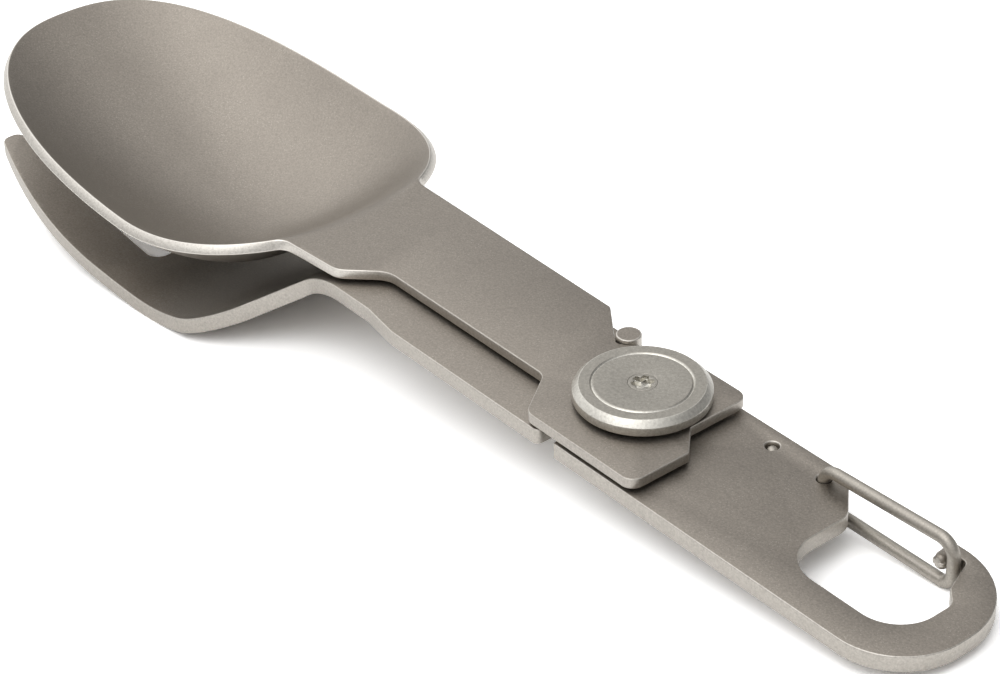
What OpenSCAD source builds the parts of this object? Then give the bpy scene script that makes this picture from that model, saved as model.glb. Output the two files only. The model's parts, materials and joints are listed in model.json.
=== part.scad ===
/* [Plates and sheet] */
// Thickness of the handle plate and of the fork plate
plate_t = 2.0; // [1.6:0.1:2.6]
// Thickness of the spoon's sheet
sheet_t = 1.3; // [1.0:0.1:1.6]
// Space between the plates and the spoon, filled by a washer
spoon_gap = 0.5; // [0.4:0.05:0.8]
// Play left on each side of a washer
washer_play = 0.05; // [0.03:0.01:0.08]

/* [Handle] */
// Width of the handle plate
handle_w = 20.0; // [18:0.5:23]
// How far the handle's middle lies to the near side of the pivot axis
handle_offset = 1.2; // [0:0.1:1.8]
// Reach of the handle plate from the pivot axis to its rear end
handle_len = 49.8; // [47:0.1:56]
// Reach of the handle plate ahead of the pivot axis
handle_front = 2.2; // [1.8:0.1:2.6]
// Radius of the near rear corner, as a share of the width that the far one leaves
handle_near_share = 0.86; // [0.7:0.01:0.95]
// Radius of the two front corners
handle_front_r = 0.4; // [0.2:0.1:1]

/* [Clip eye] */
// Length of the eye along the handle
eye_len = 17.0; // [15:0.1:20]
// Width of the plate's hook around the eye, at its rear end
eye_rim_w = 4.7; // [3.5:0.1:5.5]
// Width of the plate's hook along the near side
eye_side_w = 4.65; // [3.5:0.05:6]
// Radius of the eye's two near corners
eye_r = 5.0; // [3.5:0.1:5.5]
// Radius of the eye's corner beside the nose
eye_nose_r = 1.8; // [1:0.1:2.2]
// Length of the slanted corner between the far edge and the eye, along the handle
eye_slant = 4.9; // [4:0.1:6]
// Rounding of that slanted corner
eye_slant_r = 3.0; // [2:0.1:3.4]
// Width of the nose tip that the gate closes behind
nose_w = 1.0; // [0.8:0.1:1.4]
// Straight stretch of the far edge between the nose and the far rear corner
nose_flat = 1.3; // [0.8:0.1:2]
// Reach of the nose tip across the slot, from the far edge
nose_reach = 3.7; // [3:0.1:4.2]
// Width of the slot that takes the end of the gate
nose_slot_w = 1.9; // [1.8:0.1:2.6]
// How far that slot widens towards the eye
slot_slant = 1.8; // [1:0.1:2.4]
// Depth of the slot's rear side past the nose tip
slot_deep = 2.2; // [1.6:0.1:2.6]
// Fall of the hook's inner edge from the slot to the eye's rear end
slot_fall = 1.7; // [1:0.1:2]
// Width of the neck outside that slot
nose_neck_w = 1.5; // [1.2:0.1:1.9]

/* [Gate] */
// Diameter of the gate's wire
wire_d = 1.45; // [1.2:0.05:1.6]
// Distance of the wire from the handle's far edge
wire_inset = 2.4; // [2.2:0.1:2.8]
// Distance from the handle's rear end to the middle of the gate's end
gate_end_inset = 9.3; // [9:0.1:9.6]
// Distance between that hole and the hole that anchors the wire's other end
gate_anchor = 7.9; // [6.5:0.1:9]
// Reach of the gate from the hole in which it turns to the middle of its end
gate_len = 18.7; // [18.2:0.1:19]
// Height of the upper leg's middle over the plate
gate_rise = 1.95; // [1.4:0.05:2.2]
// Depth of the lower leg's middle under the plate
gate_drop = 1.3; // [0.95:0.05:1.5]
// Bend radius of the wire's middle line
wire_bend_r = 1.5; // [1.2:0.1:2]
// Radial play of the wire in its holes
wire_play = 0.08; // [0.05:0.01:0.1]

/* [Pivot] */
// Radius of the pivot barrel
barrel_r = 3.0; // [2.6:0.1:3.4]
// Radius of the barrel's foot under the handle
barrel_foot_r = 4.6; // [4:0.1:5.5]
// Thickness of the barrel's foot
barrel_foot_t = 0.8; // [0.6:0.1:1]
// Radial play of the barrel in the plates
barrel_fit = 0.02; // [0.01:0.01:0.05]
// Radial play of the spoon on the barrel
spoon_play = 0.06; // [0.03:0.01:0.1]
// Outer radius of the washer under the spoon
spacer_r = 6.2; // [5:0.1:7]
// Outer radius of the washer over the spoon
cap_washer_r = 5.4; // [4.5:0.1:6.5]
// Radius of the pivot cap
cap_r = 7.8; // [7:0.1:8.5]
// Thickness of the pivot cap
cap_t = 1.75; // [1.4:0.05:2.2]
// Height of the cap over the spoon
cap_gap = 0.5; // [0.4:0.05:0.7]
// Width of the cap's chamfer
cap_chamfer_w = 0.7; // [0.4:0.05:1]
// Height of the cap's chamfer
cap_chamfer_h = 0.72; // [0.4:0.04:1]
// Radius of the ring groove in the cap's top
groove_r = 5.63; // [4.5:0.05:6.2]
// Width of that groove
groove_w = 0.36; // [0.2:0.02:0.5]

/* [Pivot screw] */
// Radius of the screw's shank
screw_r = 1.2; // [1:0.05:1.4]
// Radius of the screw's head
screw_head_r = 1.6; // [1.5:0.05:2]
// Height of the screw's head
screw_head_h = 0.9; // [0.6:0.05:1.1]
// How far the head lies under the cap's top
screw_sink = 0.1; // [0.05:0.05:0.2]
// Mean radius of the six-lobe recess
recess_r = 1.02; // [0.8:0.02:1.1]
// Depth of the six-lobe recess
recess_h = 0.7; // [0.4:0.05:0.8]

/* [Stop pin] */
// Radius of the stop pin
pin_r = 1.5; // [1.3:0.1:1.7]
// Distance of the stop pin ahead of the pivot axis
pin_x = 10.15; // [9.8:0.05:11]
// Distance of the stop pin from the fork's far edge
pin_inset = 1.8; // [1.6:0.05:2.2]
// Height of the stop pin over the spoon
pin_proud = 0.4; // [0.2:0.05:0.8]
// Chamfer of the pin's upper edge
pin_chamfer = 0.2; // [0.1:0.05:0.3]
// Play between the seated notch and the pin
notch_play = 0.1; // [0.05:0.01:0.2]
// Slope of the notch's two flanks
notch_angle = 37; // [34:1:40]

/* [Spoon stem] */
// How much narrower the stem is than the handle, on each side
stem_inset = 0.45; // [0:0.05:0.8]
// Reach of the near prong behind the pivot axis
prong_x = 10.7; // [10:0.1:12]
// Reach of the far lobe behind the pivot axis
lobe_x = 7.4; // [6.8:0.1:7.4]
// How far the far lobe's edge lies inside the stem's
lobe_inset = 0.4; // [0.4:0.05:0.8]
// Radius of the far lobe's corner
lobe_r = 3.0; // [3:0.1:4]
// How far the near prong's edge lies inside the handle's near edge
prong_inset = 0.05; // [0:0.05:0.6]
// Radius of the near prong's corner
prong_r = 1.6; // [1:0.1:2.5]
// Distance of the prong's step from the middle line
step_y = 2.9; // [2:0.1:4]
// Depth of the cut-out in the stem's near edge
cut_depth = 4.4; // [3.5:0.05:4.6]
// Distance from the pivot axis to the rear end of the cut-out
cut_rear_x = 10.8; // [9.8:0.1:11.5]
// Length of the cut-out's edge
cut_len = 28.3; // [26:0.1:30]
// Length of the slant at the cut-out's rear end
cut_rear_slant = 4.2; // [3.5:0.1:5]
// Rounding of the cut-out's corners
cut_r = 1.8; // [1:0.1:2.4]

/* [Spoon bowl] */
// Distance from the pivot axis to the bowl's widest point
bowl_x = 73.0; // [71:0.5:79]
// Half width of the bowl
bowl_half = 20.8; // [19:0.1:22]
// Length of the bowl behind its widest point
bowl_back = 21.9; // [21:0.1:24]
// Length of the bowl ahead of its widest point
bowl_front = 44.7; // [38:0.1:46]
// Depth of the bowl under its rim
bowl_depth = 9.5; // [7:0.25:10]
// Squareness of the bowl's outline towards the stem, where 2 is an ellipse
back_square = 2.2; // [2:0.1:2.6]
// Squareness of the bowl's outline towards the tip
front_square = 2.5; // [2:0.1:3]
// Dip of the rim below the stem, at the bowl's widest point
rim_dip = 1.7; // [1:0.1:3]
// Rise of the rim from that dip to the tip
tip_rise = 3.9; // [3:0.1:6]
// Length over which the rim dips, towards the stem
rim_back = 19.5; // [17:0.1:21]
// Rounding between the stem's edges and the bowl's rim
shoulder_r = 2.5; // [1:0.1:3]

/* [Fork] */
// Gap between the fork's tail and the front end of the handle
tail_gap = 2.7; // [1.5:0.1:3.2]
// Radius of the two corners of the fork's tail
tail_r = 0.8; // [0.4:0.1:1.2]
// How much narrower the fork's stem is than the handle, on each side
fork_inset = 0.05; // [0:0.05:0.5]
// How far the middle of the fork's stem lies to the near side of the pivot axis
fork_offset = 1.15; // [0.8:0.05:1.4]
// How much narrower the fork is at its neck than at its stem, on each side
neck_inset = 0.9; // [0.4:0.1:1.4]
// Distance from the pivot axis to where the stem narrows to the neck
neck_x = 31.0; // [28:0.5:33]
// Length over which it narrows
neck_len = 5.6; // [4.5:0.1:6.5]
// Rounding of the neck's two corners
neck_r = 4.0; // [2:0.5:6]
// Distance from the pivot axis to the start of the fork's bend
bend_x = 42.5; // [41:0.1:44]
// Radius of the bend at the stem
bend_r = 12.0; // [9:0.5:15]
// Angle of the ramp down to the tines
ramp_angle = 36; // [33:1:38]
// Depth of the tines' lowest point under the top of the stem
fork_depth = 13.2; // [13:0.1:14.5]
// Radius of the bend at the foot of the ramp
belly_r = 32.5; // [28:0.5:34]
// Radius of the tines' upward sweep
tine_sweep_r = 190; // [160:5:260]
// Half width of the fork's head
head_half = 19.1; // [18:0.1:20]
// Length of the flare from the stem to the head
flare_len = 17.5; // [15:0.5:20]
// Distance from the pivot axis to the start of that flare
flare_x = 47.5; // [46:0.5:50]
// Distance from the pivot axis to where the head begins to narrow
taper_x = 84.0; // [82:0.5:92]
// Distance from the pivot axis to the tips of the outer tines
tip_x = 114.2; // [111:0.2:116]
// How far the inner tines reach past the outer ones
inner_reach = 1.4; // [0:0.1:2]
// Narrowing of the head at each side, at the outer tips
tip_taper = 5.1; // [3:0.1:6]
// Distance from the pivot axis to the roots of the slots between the tines
root_x = 80.3; // [78:0.1:84]
// Width of a slot between the tines at its root
slot_w = 3.8; // [3.2:0.1:4.4]
// Distance between the middles of two slots at their roots
slot_pitch = 10.4; // [9.8:0.1:11]
// Width of a tine at its tip
tine_tip_w = 3.0; // [2.4:0.1:3.6]
// Rounding of a tine's tip
tine_tip_r = 1.3; // [0.8:0.1:1.5]

/* [Lap joint of fork and handle] */
// Wall between the tongues and the stop pin
tongue_wall = 0.5; // [0.4:0.05:0.8]
// Reach of the handle's tongue ahead of the pivot axis
tongue_front = 16.0; // [13:0.5:20]
// Radius of the fork's tongue around the pivot axis
tongue_r = 6.6; // [6:0.1:7]
// Play around the tongues
tongue_play = 0.1; // [0.05:0.01:0.2]

/* [Hidden] */

titanium = [0.55, 0.53, 0.50];
bright = [0.68, 0.66, 0.62];
steel = [0.60, 0.60, 0.58];

// How far a cut runs past the face that it opens
cut_over = 1.0;
// Steps in a rounded corner and in a long curve
corner_steps = 10;
curve_steps = 20;
round_fn = 64;

// Heights over the handle's underside, on the pivot axis
lap_z = plate_t / 2;
spoon_z = plate_t + spoon_gap;
spoon_top = spoon_z + sheet_t;
cap_z = spoon_top + cap_gap;
cap_top = cap_z + cap_t;

// The handle's edges and the eye's far and near edges
handle_near = -handle_offset - handle_w / 2;
handle_far = -handle_offset + handle_w / 2;
eye_rear = handle_len - eye_rim_w;
eye_x = eye_rear - eye_len;
eye_near = handle_near + eye_side_w;
slant_y = eye_slant * 1.04;

// The gate's middle line
wire_r = wire_d / 2;
wire_y = handle_far - wire_inset;
gate_end_x = handle_len - gate_end_inset;
gate_x = gate_end_x - gate_len;
gate_hole_r = wire_r + wire_play;
upper_z = plate_t + gate_rise;
lower_z = -gate_drop;
anchor_x = gate_x - gate_anchor;
tail_end_z = plate_t - wire_r - wire_play * 4;
slot_front_x = gate_end_x - wire_r - wire_play * 3;
slot_rear_x = slot_front_x + nose_slot_w;
slot_foot_y = handle_far - nose_reach - slot_deep;
nose_front_x = slot_front_x - nose_w;
slot_far_y = handle_far - nose_neck_w;
nose_tip_y = handle_far - nose_reach;

// The two rear corners: the far one starts beside the nose, the near one takes a share of the rest
far_corner_r = handle_len - nose_front_x - nose_flat;
near_corner_r = (handle_w - far_corner_r) * handle_near_share;

// The spoon's edges
stem_half = handle_w / 2 - stem_inset;
lobe_y = stem_half - lobe_inset;
cut_y = stem_half - cut_depth;
prong_y = -handle_near - prong_inset;

// The fork's edges, the stop pin's place and the foot of the fork's ramp
fork_half = handle_w / 2 - fork_inset;
neck_half = fork_half - neck_inset;
fork_near = -fork_offset - fork_half;
fork_far = -fork_offset + fork_half;
pin_y = fork_far - pin_inset;
tongue_half = pin_y - pin_r - tongue_wall;
tail_x = -handle_front - tail_gap;
bend_end_x = -bend_x - bend_r * sin(ramp_angle);
bend_end_z = plate_t - bend_r * (1 - cos(ramp_angle));
belly_top = plate_t - fork_depth;
belly_start_z = belly_top + belly_r * (1 - cos(ramp_angle));
belly_start_x = bend_end_x - (bend_end_z - belly_start_z) / tan(ramp_angle);
belly_x = belly_start_x - belly_r * sin(ramp_angle);

// Lying pose: the fork's belly and the gate's lower bend rest on the table
bend_rest_x = gate_end_x - wire_bend_r;
bend_rest_z = lower_z + wire_bend_r;
rest_run = bend_rest_x - belly_x;
rest_fall = belly_top + belly_r - bend_rest_z;
belly_under_r = belly_r + plate_t;
bend_under_r = wire_bend_r + wire_r;
rest_tilt = asin((belly_under_r - bend_under_r) / norm([rest_run, rest_fall])) - atan(rest_fall / rest_run);
rest_lift = bend_rest_x * sin(rest_tilt) - bend_rest_z * cos(rest_tilt) + bend_under_r;
tip_under = bowl_under(1, 180);
front_x = tip_under.x * cos(rest_tilt) + tip_under.z * sin(rest_tilt);
rear_x = handle_len * cos(rest_tilt) + plate_t * sin(rest_tilt);
rest_x = -(front_x + rear_x) / 2;

// Lays the part as it rests on a table, with the origin under the middle of its box
module laid() {
    translate([rest_x, 0, rest_lift]) rotate([0, rest_tilt, 0]) children();
}

// Corner rounding for outlines: each corner is [x, y, radius]
function unit(v) = v / norm(v);

function corner_arc(a, b, c, r) =
    let (u = unit(a - b), v = unit(c - b), half = acos(u * v) / 2)
    let (mid = b + unit(u + v) * r / sin(half))
    let (from = b + u * r / tan(half) - mid, to = b + v * r / tan(half) - mid)
    let (a0 = atan2(from.y, from.x), a1 = atan2(to.y, to.x))
    let (sweep = (a1 - a0 + 540) % 360 - 180)
    [for (i = [0:corner_steps]) let (turn = a0 + sweep * i / corner_steps) mid + r * [cos(turn), sin(turn)]];

function xy(p) = [p.x, p.y];

function rounded(corners) =
    let (n = len(corners))
    [for (i = [0:n - 1]) each corners[i][2] == 0 ? [xy(corners[i])]
        : corner_arc(xy(corners[(i + n - 1) % n]), xy(corners[i]), xy(corners[(i + 1) % n]), corners[i][2])];

module plate(corners, z, t) {
    translate([0, 0, z]) linear_extrude(t) polygon(rounded(corners));
}

module drill(x, y, r, z, h) {
    translate([x, y, z - cut_over]) cylinder(r = r, h = h + 2 * cut_over, $fn = round_fn);
}

// Handle: one plate, a hook around the clip eye at its rear, a half-thickness tongue at its front
handle_outline = [
    [-handle_front, handle_near, handle_front_r],
    [handle_len, handle_near, near_corner_r],
    [handle_len, handle_far, far_corner_r],
    [nose_front_x, handle_far, nose_w * 0.45],
    [nose_front_x, nose_tip_y, nose_w * 0.45],
    [slot_front_x, nose_tip_y, nose_w * 0.45],
    [slot_front_x, slot_far_y, wire_r],
    [slot_rear_x, slot_far_y, wire_r],
    [slot_rear_x + slot_slant, slot_foot_y, nose_w],
    [eye_rear, slot_foot_y - slot_fall, eye_nose_r],
    [eye_rear, eye_near, eye_r],
    [eye_x, eye_near, eye_r],
    [eye_x, handle_far - slant_y, eye_slant_r],
    [eye_x - eye_slant, handle_far, eye_slant_r],
    [-handle_front, handle_far, handle_front_r]
];

module handle_plate() {
    color(titanium) laid() difference() {
        union() {
            plate(handle_outline, 0, plate_t);
            translate([-tongue_front, -tongue_half, 0])
                cube([tongue_front, 2 * tongue_half, lap_z - tongue_play / 2]);
        }
        lap_pocket();
        drill(0, 0, barrel_r + barrel_fit, 0, plate_t);
        drill(gate_x, wire_y, gate_hole_r, 0, plate_t);
        drill(anchor_x, wire_y, gate_hole_r, 0, plate_t);
        translate([anchor_x, wire_y, plate_t - wire_play * 4])
            cylinder(r1 = gate_hole_r, r2 = gate_hole_r + wire_play * 5, h = wire_play * 5, $fn = round_fn);
    }
}

// Pocket in the handle's upper half, which takes the fork's tongue
module lap_pocket() {
    translate([0, 0, lap_z]) {
        cylinder(r = tongue_r + tongue_play, h = plate_t, $fn = round_fn);
        translate([-handle_front - cut_over, -tongue_half - tongue_play, 0])
            cube([handle_front + cut_over, 2 * (tongue_half + tongue_play), plate_t]);
    }
}

// Fork: a bent plate with four tines, a half-thickness tongue around the pivot at its tail
function fork_top() = concat(
    [[tail_x, plate_t]],
    [for (i = [0:corner_steps]) let (a = ramp_angle * i / corner_steps)
        [-bend_x - bend_r * sin(a), plate_t - bend_r * (1 - cos(a))]],
    [for (i = [0:curve_steps]) let (a = ramp_angle * (1 - i / curve_steps))
        [belly_x + belly_r * sin(a), belly_top + belly_r * (1 - cos(a))]],
    [for (i = [1:curve_steps]) let (a = tine_angle * i / curve_steps)
        [belly_x - tine_sweep_r * sin(a), belly_top + tine_sweep_r * (1 - cos(a))]]);

function fork_under() = concat(
    [[tail_x, 0]],
    [for (i = [0:corner_steps]) let (a = ramp_angle * i / corner_steps)
        [-bend_x - (bend_r - plate_t) * sin(a), plate_t - bend_r + (bend_r - plate_t) * cos(a)]],
    [for (i = [0:curve_steps]) let (a = ramp_angle * (1 - i / curve_steps))
        [belly_x + belly_under_r * sin(a), belly_top + belly_r - belly_under_r * cos(a)]],
    [for (i = [1:curve_steps]) let (a = tine_angle * i / curve_steps)
        [belly_x - (tine_sweep_r + plate_t) * sin(a),
         belly_top + tine_sweep_r - (tine_sweep_r + plate_t) * cos(a)]]);

tine_angle = asin((tip_x + inner_reach + cut_over + belly_x) / tine_sweep_r);

function reversed(list) = [for (i = [len(list) - 1:-1:0]) list[i]];

// Edges of the fork's head at a distance from the pivot axis
function flare_share(x) = (1 - cos(180 * (x - flare_x) / flare_len)) / 2;
function flare_edge(x, side) =
    side * (neck_half + (head_half - neck_half) * flare_share(x)) - fork_offset * (1 - flare_share(x));
function taper_half(x) = head_half - tip_taper * pow((x - taper_x) / (tip_x - taper_x), 2);

// One long edge of the fork, from the stem to the outer tip, on the side given by its sign
function fork_edge(side) = concat(
    [[-neck_x, side * fork_half - fork_offset, neck_r],
     [-neck_x - neck_len, side * neck_half - fork_offset, neck_r]],
    [for (i = [0:curve_steps]) let (x = flare_x + flare_len * i / curve_steps)
        [-x, flare_edge(x, side), 0]],
    [for (i = [0:corner_steps]) let (x = taper_x + (tip_x - taper_x) * i / corner_steps)
        [-x, side * taper_half(x), i == corner_steps ? tine_tip_r : 0]]);

// Middles of the four tips, from the near to the far side
outer_tip_y = head_half - tip_taper - tine_tip_w / 2;
tips = [for (k = [-3:2:3]) k * outer_tip_y / 3];
tip_reaches = [tip_x, tip_x + inner_reach, tip_x + inner_reach, tip_x];

// The slot between tine k and tine k + 1, with a round root
function tine_slot(k) =
    let (y = (k - 1) * slot_pitch)
    [[-tip_reaches[k], tips[k] + tine_tip_w / 2, tine_tip_r],
     [-root_x, y - slot_w / 2, slot_w * 0.49],
     [-root_x, y + slot_w / 2, slot_w * 0.49],
     [-tip_reaches[k + 1], tips[k + 1] - tine_tip_w / 2, tine_tip_r]];

fork_outline = concat(
    [[tail_x, fork_near, tail_r]],
    fork_edge(-1),
    tine_slot(0), tine_slot(1), tine_slot(2),
    reversed(fork_edge(1)),
    [[tail_x, fork_far, tail_r]]);

module fork() {
    color(titanium) laid() difference() {
        union() {
            intersection() {
                translate([0, handle_w * 2, 0]) rotate([90, 0, 0]) linear_extrude(handle_w * 4)
                    polygon(concat(fork_top(), reversed(fork_under())));
                plate(fork_outline, -fork_depth - plate_t, fork_depth * 2 + plate_t * 2);
            }
            fork_tongue();
        }
        lap_recess();
        drill(0, 0, barrel_r + barrel_fit, 0, plate_t);
        drill(-pin_x, pin_y, pin_r + barrel_fit, 0, plate_t);
    }
}

// Tongue of the fork over the handle's lower half, around the pivot
module fork_tongue() {
    translate([0, 0, lap_z + tongue_play / 2]) linear_extrude(plate_t - lap_z - tongue_play / 2) union() {
        circle(r = tongue_r, $fn = round_fn);
        translate([tail_x - cut_over, -tongue_half]) square([cut_over - tail_x, 2 * tongue_half]);
    }
}

// Recess in the underside of the fork's tail, which takes the handle's tongue
module lap_recess() {
    translate([-tongue_front - tongue_play, -tongue_half - tongue_play, -cut_over])
        cube([tongue_front + tail_x + tongue_play + cut_over, 2 * (tongue_half + tongue_play),
              lap_z + cut_over]);
}

// Spoon: one pressed sheet, the bowl's hollow given by rings of its outline
rings = 12;
spokes = 96;
stem_bowl_share = 0.985;

function rim_point(a) =
    let (n = cos(a) > 0 ? back_square : front_square)
    let (c = pow(abs(cos(a)), 2 / n), s = pow(abs(sin(a)), 2 / n))
    [cos(a) > 0 ? bowl_back * c : -bowl_front * c, sign(sin(a)) * bowl_half * s];

function rim_height(x) =
    x > -bowl_x
        ? -rim_dip * pow(max(0, 1 - pow((x + bowl_x) / rim_back, 2)), 1.2)
        : -rim_dip + tip_rise * pow((-bowl_x - x) / bowl_front, 1.6);

// Upper surface of the bowl, at a share of the way to its rim and an angle from the stem
function bowl_top(share, a) =
    let (p = rim_point(a) * share, x = p.x - bowl_x, ease = 1 + pow(max(0, cos(a)), 4) / 2)
    [x, p.y, spoon_top + rim_height(x) - bowl_depth * pow(max(0, 1 - share * share), ease)];

function bowl_normal(share, a) =
    share == 0 ? [0, 0, 1]
    : let (outward = bowl_top(share, a) - bowl_top(share - 0.02, a))
      let (around = bowl_top(share, a + 0.5) - bowl_top(share, a - 0.5))
      unit(cross(outward, around));

// The pressed sheet is as thick everywhere, so its cut edge stands square to the bowl's wall
function bowl_under(share, a) = bowl_top(share, a) - sheet_t * bowl_normal(share, a);

function ring_index(i, j) = 1 + (i - 1) * spokes + j % spokes;

module bowl() {
    top = concat([bowl_top(0, 0)],
        [for (i = [1:rings], j = [0:spokes - 1]) bowl_top(sin(90 * i / rings), 360 * j / spokes)]);
    under = concat([bowl_under(0, 0)],
        [for (i = [1:rings], j = [0:spokes - 1]) bowl_under(sin(90 * i / rings), 360 * j / spokes)]);
    n = len(top);
    faces = [for (j = [0:spokes - 1]) each concat(
        [[0, ring_index(1, j + 1), ring_index(1, j)], [n, n + ring_index(1, j), n + ring_index(1, j + 1)]],
        [for (i = [1:rings - 1]) each [
            [ring_index(i, j), ring_index(i, j + 1), ring_index(i + 1, j + 1)],
            [ring_index(i, j), ring_index(i + 1, j + 1), ring_index(i + 1, j)],
            [n + ring_index(i, j), n + ring_index(i + 1, j + 1), n + ring_index(i, j + 1)],
            [n + ring_index(i, j), n + ring_index(i + 1, j), n + ring_index(i + 1, j + 1)]]],
        [[ring_index(rings, j), ring_index(rings, j + 1), n + ring_index(rings, j + 1)],
         [ring_index(rings, j), n + ring_index(rings, j + 1), n + ring_index(rings, j)]])];
    polyhedron(points = concat(top, under), faces = faces, convexity = 6);
}

// Where the stem's edges meet the bowl's rim, and the rim a little beyond
shoulder_angle = asin(stem_half / bowl_half);
gusset_angle = shoulder_angle + 6;
function shoulder(side, a) = let (p = rim_point(side * a)) [p.x - bowl_x, p.y, 0];

notch_vertex = pin_y - (pin_r + notch_play) / cos(notch_angle);
notch_left = pin_x + (stem_half - notch_vertex) / tan(notch_angle);
notch_right = pin_x - (lobe_y - notch_vertex) / tan(notch_angle);
cut_front_x = cut_rear_x + cut_len;

stem_outline = concat(
    [[-notch_right, lobe_y, cut_r * 0.3],
     [-pin_x, notch_vertex, pin_r * 0.6],
     [-notch_left, stem_half, cut_r * 0.5],
     concat(xy(shoulder(1, shoulder_angle)), shoulder_r),
     shoulder(1, gusset_angle)],
    [for (i = [corner_steps:-1:-corner_steps])
        let (p = rim_point(gusset_angle * i / corner_steps) * stem_bowl_share) [p.x - bowl_x, p.y, 0]],
    [shoulder(-1, gusset_angle),
     concat(xy(shoulder(-1, shoulder_angle)), shoulder_r),
     [-cut_front_x - (stem_half - cut_y), -stem_half, cut_r],
     [-cut_front_x, -cut_y, cut_r],
     [-cut_rear_x, -cut_y, cut_r],
     [-cut_rear_x + cut_rear_slant, -prong_y, cut_r],
     [prong_x, -prong_y, prong_r],
     [prong_x, -step_y, prong_r * 0.4],
     [lobe_x, -step_y + prong_x - lobe_x, prong_r * 0.4],
     [lobe_x, lobe_y, lobe_r]]);

module spoon() {
    color(titanium) laid() difference() {
        union() {
            plate(stem_outline, spoon_z, sheet_t);
            bowl();
        }
        drill(0, 0, barrel_r + spoon_play, spoon_z, sheet_t);
    }
}

// Pivot: a barrel with a foot, two washers, a cap and a six-lobe screw
module pivot_barrel() {
    color(steel) laid() difference() {
        union() {
            translate([0, 0, -barrel_foot_t]) cylinder(r = barrel_foot_r, h = barrel_foot_t, $fn = round_fn);
            cylinder(r = barrel_r, h = cap_z, $fn = round_fn);
        }
        translate([0, 0, lap_z]) cylinder(r = screw_r + barrel_fit, h = cap_z, $fn = round_fn);
    }
}

module washer(r, z, t) {
    difference() {
        translate([0, 0, z]) cylinder(r = r, h = t, $fn = round_fn);
        drill(0, 0, barrel_r + spoon_play, z, t);
    }
}

module spacer_washer() {
    color(bright) laid() washer(spacer_r, plate_t, spoon_gap - washer_play);
}

module cap_washer() {
    color(bright) laid() washer(cap_washer_r, spoon_top + washer_play, cap_gap - 2 * washer_play);
}

head_z = cap_top - screw_sink - screw_head_h;
shank_z = lap_z + barrel_foot_t;

module pivot_cap() {
    color(bright) laid() rotate_extrude($fn = round_fn * 2) polygon([
        [screw_r + spoon_play, cap_z],
        [cap_r, cap_z],
        [cap_r, cap_top - cap_chamfer_h],
        [cap_r - cap_chamfer_w, cap_top],
        [groove_r + groove_w / 2, cap_top],
        [groove_r, cap_top - groove_w / 2],
        [groove_r - groove_w / 2, cap_top],
        [screw_head_r + spoon_play, cap_top],
        [screw_head_r + spoon_play, head_z],
        [screw_r + spoon_play, head_z]]);
}

recess = [for (a = [0:5:355]) let (r = recess_r * (1 + 0.2 * cos(6 * a))) r * [cos(a), sin(a)]];

module pivot_screw() {
    color(bright) laid() difference() {
        union() {
            translate([0, 0, head_z]) cylinder(r = screw_head_r, h = screw_head_h, $fn = round_fn);
            translate([0, 0, shank_z]) cylinder(r = screw_r, h = head_z - shank_z, $fn = round_fn);
        }
        translate([0, 0, cap_top - screw_sink - recess_h])
            linear_extrude(recess_h + cut_over) polygon(recess);
    }
}

// Stop pin: a plain pin through the fork's tail, which the spoon's notch seats on
module stop_pin() {
    color(bright) laid() translate([-pin_x, pin_y, 0]) rotate_extrude($fn = round_fn) polygon([
        [0, 0], [pin_r, 0], [pin_r, spoon_top + pin_proud - pin_chamfer],
        [pin_r - pin_chamfer, spoon_top + pin_proud], [0, spoon_top + pin_proud]]);
}

// Gate: one bent wire, its upper end turning in the handle, its lower leg anchored further forward
module wire_bend(corner, from, to) {
    u = unit(from - corner);
    v = unit(to - corner);
    half = acos(u * v) / 2;
    mid = corner + unit(u + v) * wire_bend_r / sin(half);
    one = corner + u * wire_bend_r / tan(half) - mid;
    other = corner + v * wire_bend_r / tan(half) - mid;
    start = cross(one, other) > 0 ? one : other;
    translate([mid.x, wire_y, mid.y]) rotate([90, 0, 0])
        rotate([0, 0, atan2(start.y, start.x)])
            rotate_extrude(angle = 180 - 2 * half, $fn = round_fn)
                translate([wire_bend_r, 0]) circle(r = wire_r, $fn = round_fn / 2);
}

// A straight run of wire between two points of the wire's plane, less the lengths taken by bends
module wire_run(from, to, less_from, less_to) {
    d = unit(to - from);
    a = from + d * less_from;
    translate([a.x, wire_y, a.y]) rotate([0, atan2(d.x, d.y), 0])
        cylinder(r = wire_r, h = norm(to - from) - less_from - less_to, $fn = round_fn / 2);
}

function bend_less(from, corner, to) =
    wire_bend_r / tan(acos(unit(from - corner) * unit(to - corner)) / 2);

gate_path = [
    [gate_x, wire_play], [gate_x, upper_z], [gate_end_x, upper_z],
    [gate_end_x, lower_z], [gate_x, lower_z]];
tail_path = [[gate_x - wire_r - wire_play, lower_z], [anchor_x, lower_z], [anchor_x, tail_end_z]];

// A ball inside the wire, where a bend meets a run, keeps the two joined at any tilt of the part
module wire_core(corner, next, less) {
    p = corner + unit(next - corner) * less;
    translate([p.x, wire_y, p.y]) sphere(r = wire_r / 2, $fn = round_fn / 2);
}

module wire(path) {
    n = len(path);
    less = [for (i = [0:n - 1]) i == 0 || i == n - 1 ? 0 : bend_less(path[i - 1], path[i], path[i + 1])];
    for (i = [0:n - 2]) wire_run(path[i], path[i + 1], less[i], less[i + 1]);
    for (i = [1:n - 2]) {
        wire_bend(path[i], path[i - 1], path[i + 1]);
        wire_core(path[i], path[i - 1], less[i]);
        wire_core(path[i], path[i + 1], less[i]);
    }
}

module gate_wire() {
    color(steel) laid() {
        wire(gate_path);
        translate([gate_x, wire_y, lower_z]) sphere(r = wire_r, $fn = round_fn / 2);
    }
}

module gate_wire_tail() {
    color(steel) laid() {
        wire(tail_path);
        translate([anchor_x, wire_y, tail_end_z]) sphere(r = wire_r, $fn = round_fn / 2);
    }
}

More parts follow.
